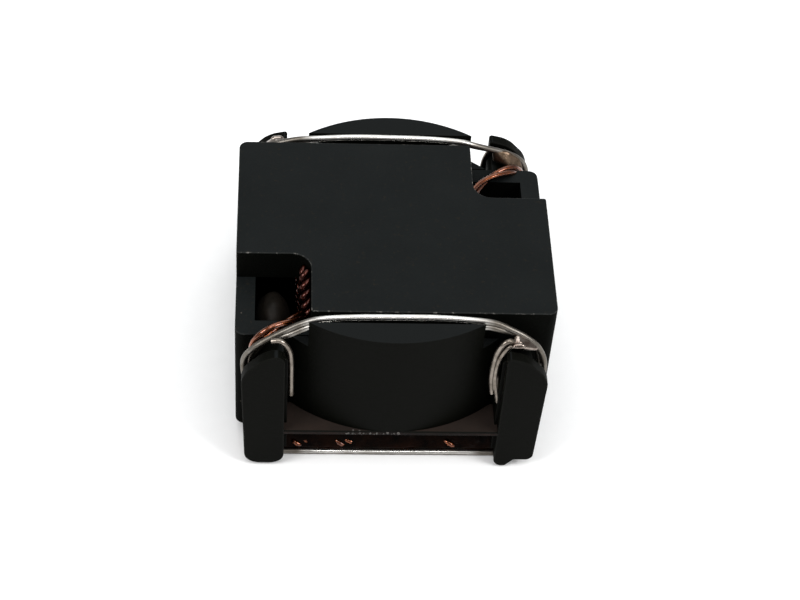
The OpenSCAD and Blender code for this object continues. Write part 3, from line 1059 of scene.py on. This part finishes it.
# %% Solder webs
WEB_GRID = 0.035
SOLDER_SMOOTH = 60


def web(name, corners, radii, finish=solder):
    """A skin of solder stretched over balls at the given corners."""
    balls = []
    for corner, radius in zip(corners, radii):
        bpy.ops.mesh.primitive_ico_sphere_add(subdivisions=2, radius=radius, location=corner)
        balls.append(bpy.context.object)
    piece = join(name, balls)
    edit(piece, "VERT")
    bpy.ops.mesh.select_all(action="SELECT")
    bpy.ops.mesh.convex_hull()
    leave()
    apply_modifier(piece, "REMESH", mode="VOXEL", voxel_size=WEB_GRID, use_smooth_shade=True)
    apply_modifier(piece, "SMOOTH", factor=0.5, iterations=8)
    piece.data.materials.append(finish)
    return piece


def both_ends(make):
    """Makes a piece for the front and a copy turned to the rear."""
    front = make("front")
    rear = duplicate(front, front.name.replace("front", "rear"), turned=True)
    return front, rear


def post_web(end):
    return web(end + "_solder_web",
               [(4.60, -5.14, 6.94), (4.96, -5.18, 6.80), (5.34, -5.30, 6.46),
                (4.48, -5.44, 6.78), (4.80, -5.44, 6.74), (4.64, -5.32, 6.86)],
               [0.12, 0.11, 0.09, 0.17, 0.16, 0.16])


def solder_bead(end):
    return web(end + "_solder_bead", [(4.50, -5.52, 6.84), (4.76, -5.50, 6.84)], [0.15, 0.14])


def tail_web(end):
    return web(end + "_tail_web",
               [(3.78, -5.48, 5.00), (3.98, -5.48, 4.98), (4.02, -5.48, 4.36), (3.86, -5.48, 4.24)],
               [0.11, 0.11, 0.12, 0.11], dull_tin)


def lead_web(end):
    return web(end + "_lead_fillet",
               [(-5.00, -5.00, 6.42), (-5.32, -5.06, 6.10), (-5.54, -5.10, 5.68),
                (-5.62, -5.12, 5.20)],
               [0.12, 0.12, 0.12, 0.10], dull_tin)


def rear_flux():
    return web("rear_flux_web",
               [(4.35, 5.02, 6.86), (4.95, 5.08, 6.66), (5.40, 5.10, 6.26), (5.52, 4.96, 5.90),
                (4.40, 4.92, 6.46), (4.95, 4.80, 6.30)],
               [0.10, 0.10, 0.10, 0.10, 0.10, 0.12], fluxed)


settle(rear_flux(), ["rear_second_strand"], smooth=SOLDER_SMOOTH)
for make, wire, drop in ((post_web, "second_strand", 0), (solder_bead, "second_strand", 0),
                         (tail_web, "lower_tail", REAR_TAIL_DROP.z),
                         (lead_web, "second_strand", 0)):
    front_web, rear_web = both_ends(make)
    rear_web.location.z = drop
    settle(front_web, ["front_" + wire], smooth=SOLDER_SMOOTH)
    settle(rear_web, ["rear_" + wire], smooth=SOLDER_SMOOTH)

# %% [markdown]
# ## Varnish under the deck
#
# A bead of varnish runs from the apron down to the board side and half buries the
# pair. It is a cube stretched along the deck, sliced to a slope, remeshed and then
# made lumpy with a Displace modifier that reads a cloud texture.


# %% Varnish, cement and glue
def lumpy(piece, size, depth):
    """Makes a surface uneven by a cloud pattern; the depth is in millimetres."""
    cloud = bpy.data.textures.new(piece.name + "_cloud", "CLOUDS")
    cloud.noise_scale = size
    apply_modifier(piece, "DISPLACE", texture=cloud, texture_coords="LOCAL", strength=depth,
                   mid_level=0.5)


def varnish_bead(end):
    bead = block(end + "_varnish_bead", (-4.3, -5.46, 0.05), (4.3, -4.7, 1.9))
    slice_at(bead, (0, -5.42, 0.30), (0, -0.77, 0.64), clear=True)
    slice_at(bead, (0, -5.37, 0.05), (0, -0.95, -0.31), clear=True)
    apply_modifier(bead, "REMESH", mode="VOXEL", voxel_size=0.07, use_smooth_shade=True)
    lumpy(bead, 0.55, 0.14)
    apply_modifier(bead, "SMOOTH", factor=0.5, iterations=3)
    bead.data.materials.append(varnish)
    return bead


def cement_dome(end):
    bpy.ops.mesh.primitive_uv_sphere_add(segments=48, ring_count=24, radius=1,
                                         location=(-4.70, -2.62, 4.45))
    dome = bpy.context.object
    dome.name = end + "_cement_dome"
    dome.scale = (0.74, 1.25, 1.5)
    bpy.ops.object.transform_apply(location=True, rotation=True, scale=True)
    lumpy(dome, 0.6, 0.12)
    dome.data.materials.append(cement)
    return dome


for make in (varnish_bead, cement_dome):
    for piece, node in zip(both_ends(make), ("front_lead", "rear_lead")):
        settle(piece, [node], smooth=70)

GLUE_FROM = -1.75
GLUE_STEP = 0.085
GLUE_CRUMBS = 26
crumbs = []
for index in range(GLUE_CRUMBS):
    swell = 0.5 + 0.5 * math.sin(index * 2.4)
    radius = 0.07 + 0.03 * swell
    bpy.ops.mesh.primitive_ico_sphere_add(
        subdivisions=3, radius=radius,
        location=(GLUE_FROM + GLUE_STEP * index, -face_y + 0.1, DECK_TOP - 0.17 + 0.08 * swell))
    crumbs.append(bpy.context.object)
glue = join("glue_residue", crumbs)
lumpy(glue, 0.12, 0.05)
glue.data.materials.append(residue)
settle(glue, ["header"], smooth=60)

# %% [markdown]
# ## Floor and light
#
# The part lies on a plain white sheet under soft light: a square softbox on each
# side, whose light the posts cut off from the curved wall, one above, a small one
# in front, and a wide cool panel behind that gives the ground top its sheen.

# %% Floor and light
bpy.ops.mesh.primitive_plane_add(size=4, location=(0, 0, 0))
floor = bpy.context.object
floor.name = "floor"
paper, tree, shader, place = new_material("white paper")
fibres = use(tree, grain, {"Place": place, "Size": 0.6})
tree.links.new(blend(tree, fibres["Tone"], (0.88, 0.88, 0.88, 1), (0.92, 0.92, 0.92, 1)),
               shader.inputs["Base Color"])
shader.inputs["Roughness"].default_value = 0.9
shader.inputs["Specular IOR Level"].default_value = 0.1
floor.data.materials.append(paper)


def softbox(name, azimuth, elevation, distance, size, power, tint=(1, 1, 1)):
    """A square soft light that faces the part; angles in degrees, lengths in metres."""
    away = toward(math.radians(azimuth), math.radians(elevation))
    bpy.ops.object.light_add(type="AREA", location=AIM + away * distance)
    light = bpy.context.object
    light.name = name
    light.rotation_mode = "QUATERNION"
    light.rotation_quaternion = away.to_track_quat("Z", "Y")
    light.data.size = size
    light.data.energy = power
    light.data.color = tint
    print(name, "at azimuth", azimuth, "and elevation", elevation)


softbox("left softbox", -62, 42, 0.4, 0.16, 0.8)
softbox("right softbox", 62, 42, 0.4, 0.16, 0.9)
softbox("overhead softbox", 0, 88, 0.5, 0.34, 0.95)
softbox("front softbox", 4, 62, 0.4, 0.08, 0.13)
softbox("back panel", 176, 46, 0.5, 0.5, 0.8, (0.93, 0.98, 1.0))
world = bpy.data.worlds.new("studio")
world.use_nodes = True
world.node_tree.nodes["Background"].inputs["Color"].default_value = (0.35, 0.35, 0.35, 1)
scene.world = world

# %% [markdown]
# ## Finish
#
# The dressed part should fill nearly the same box as the solids.


print("scene built")
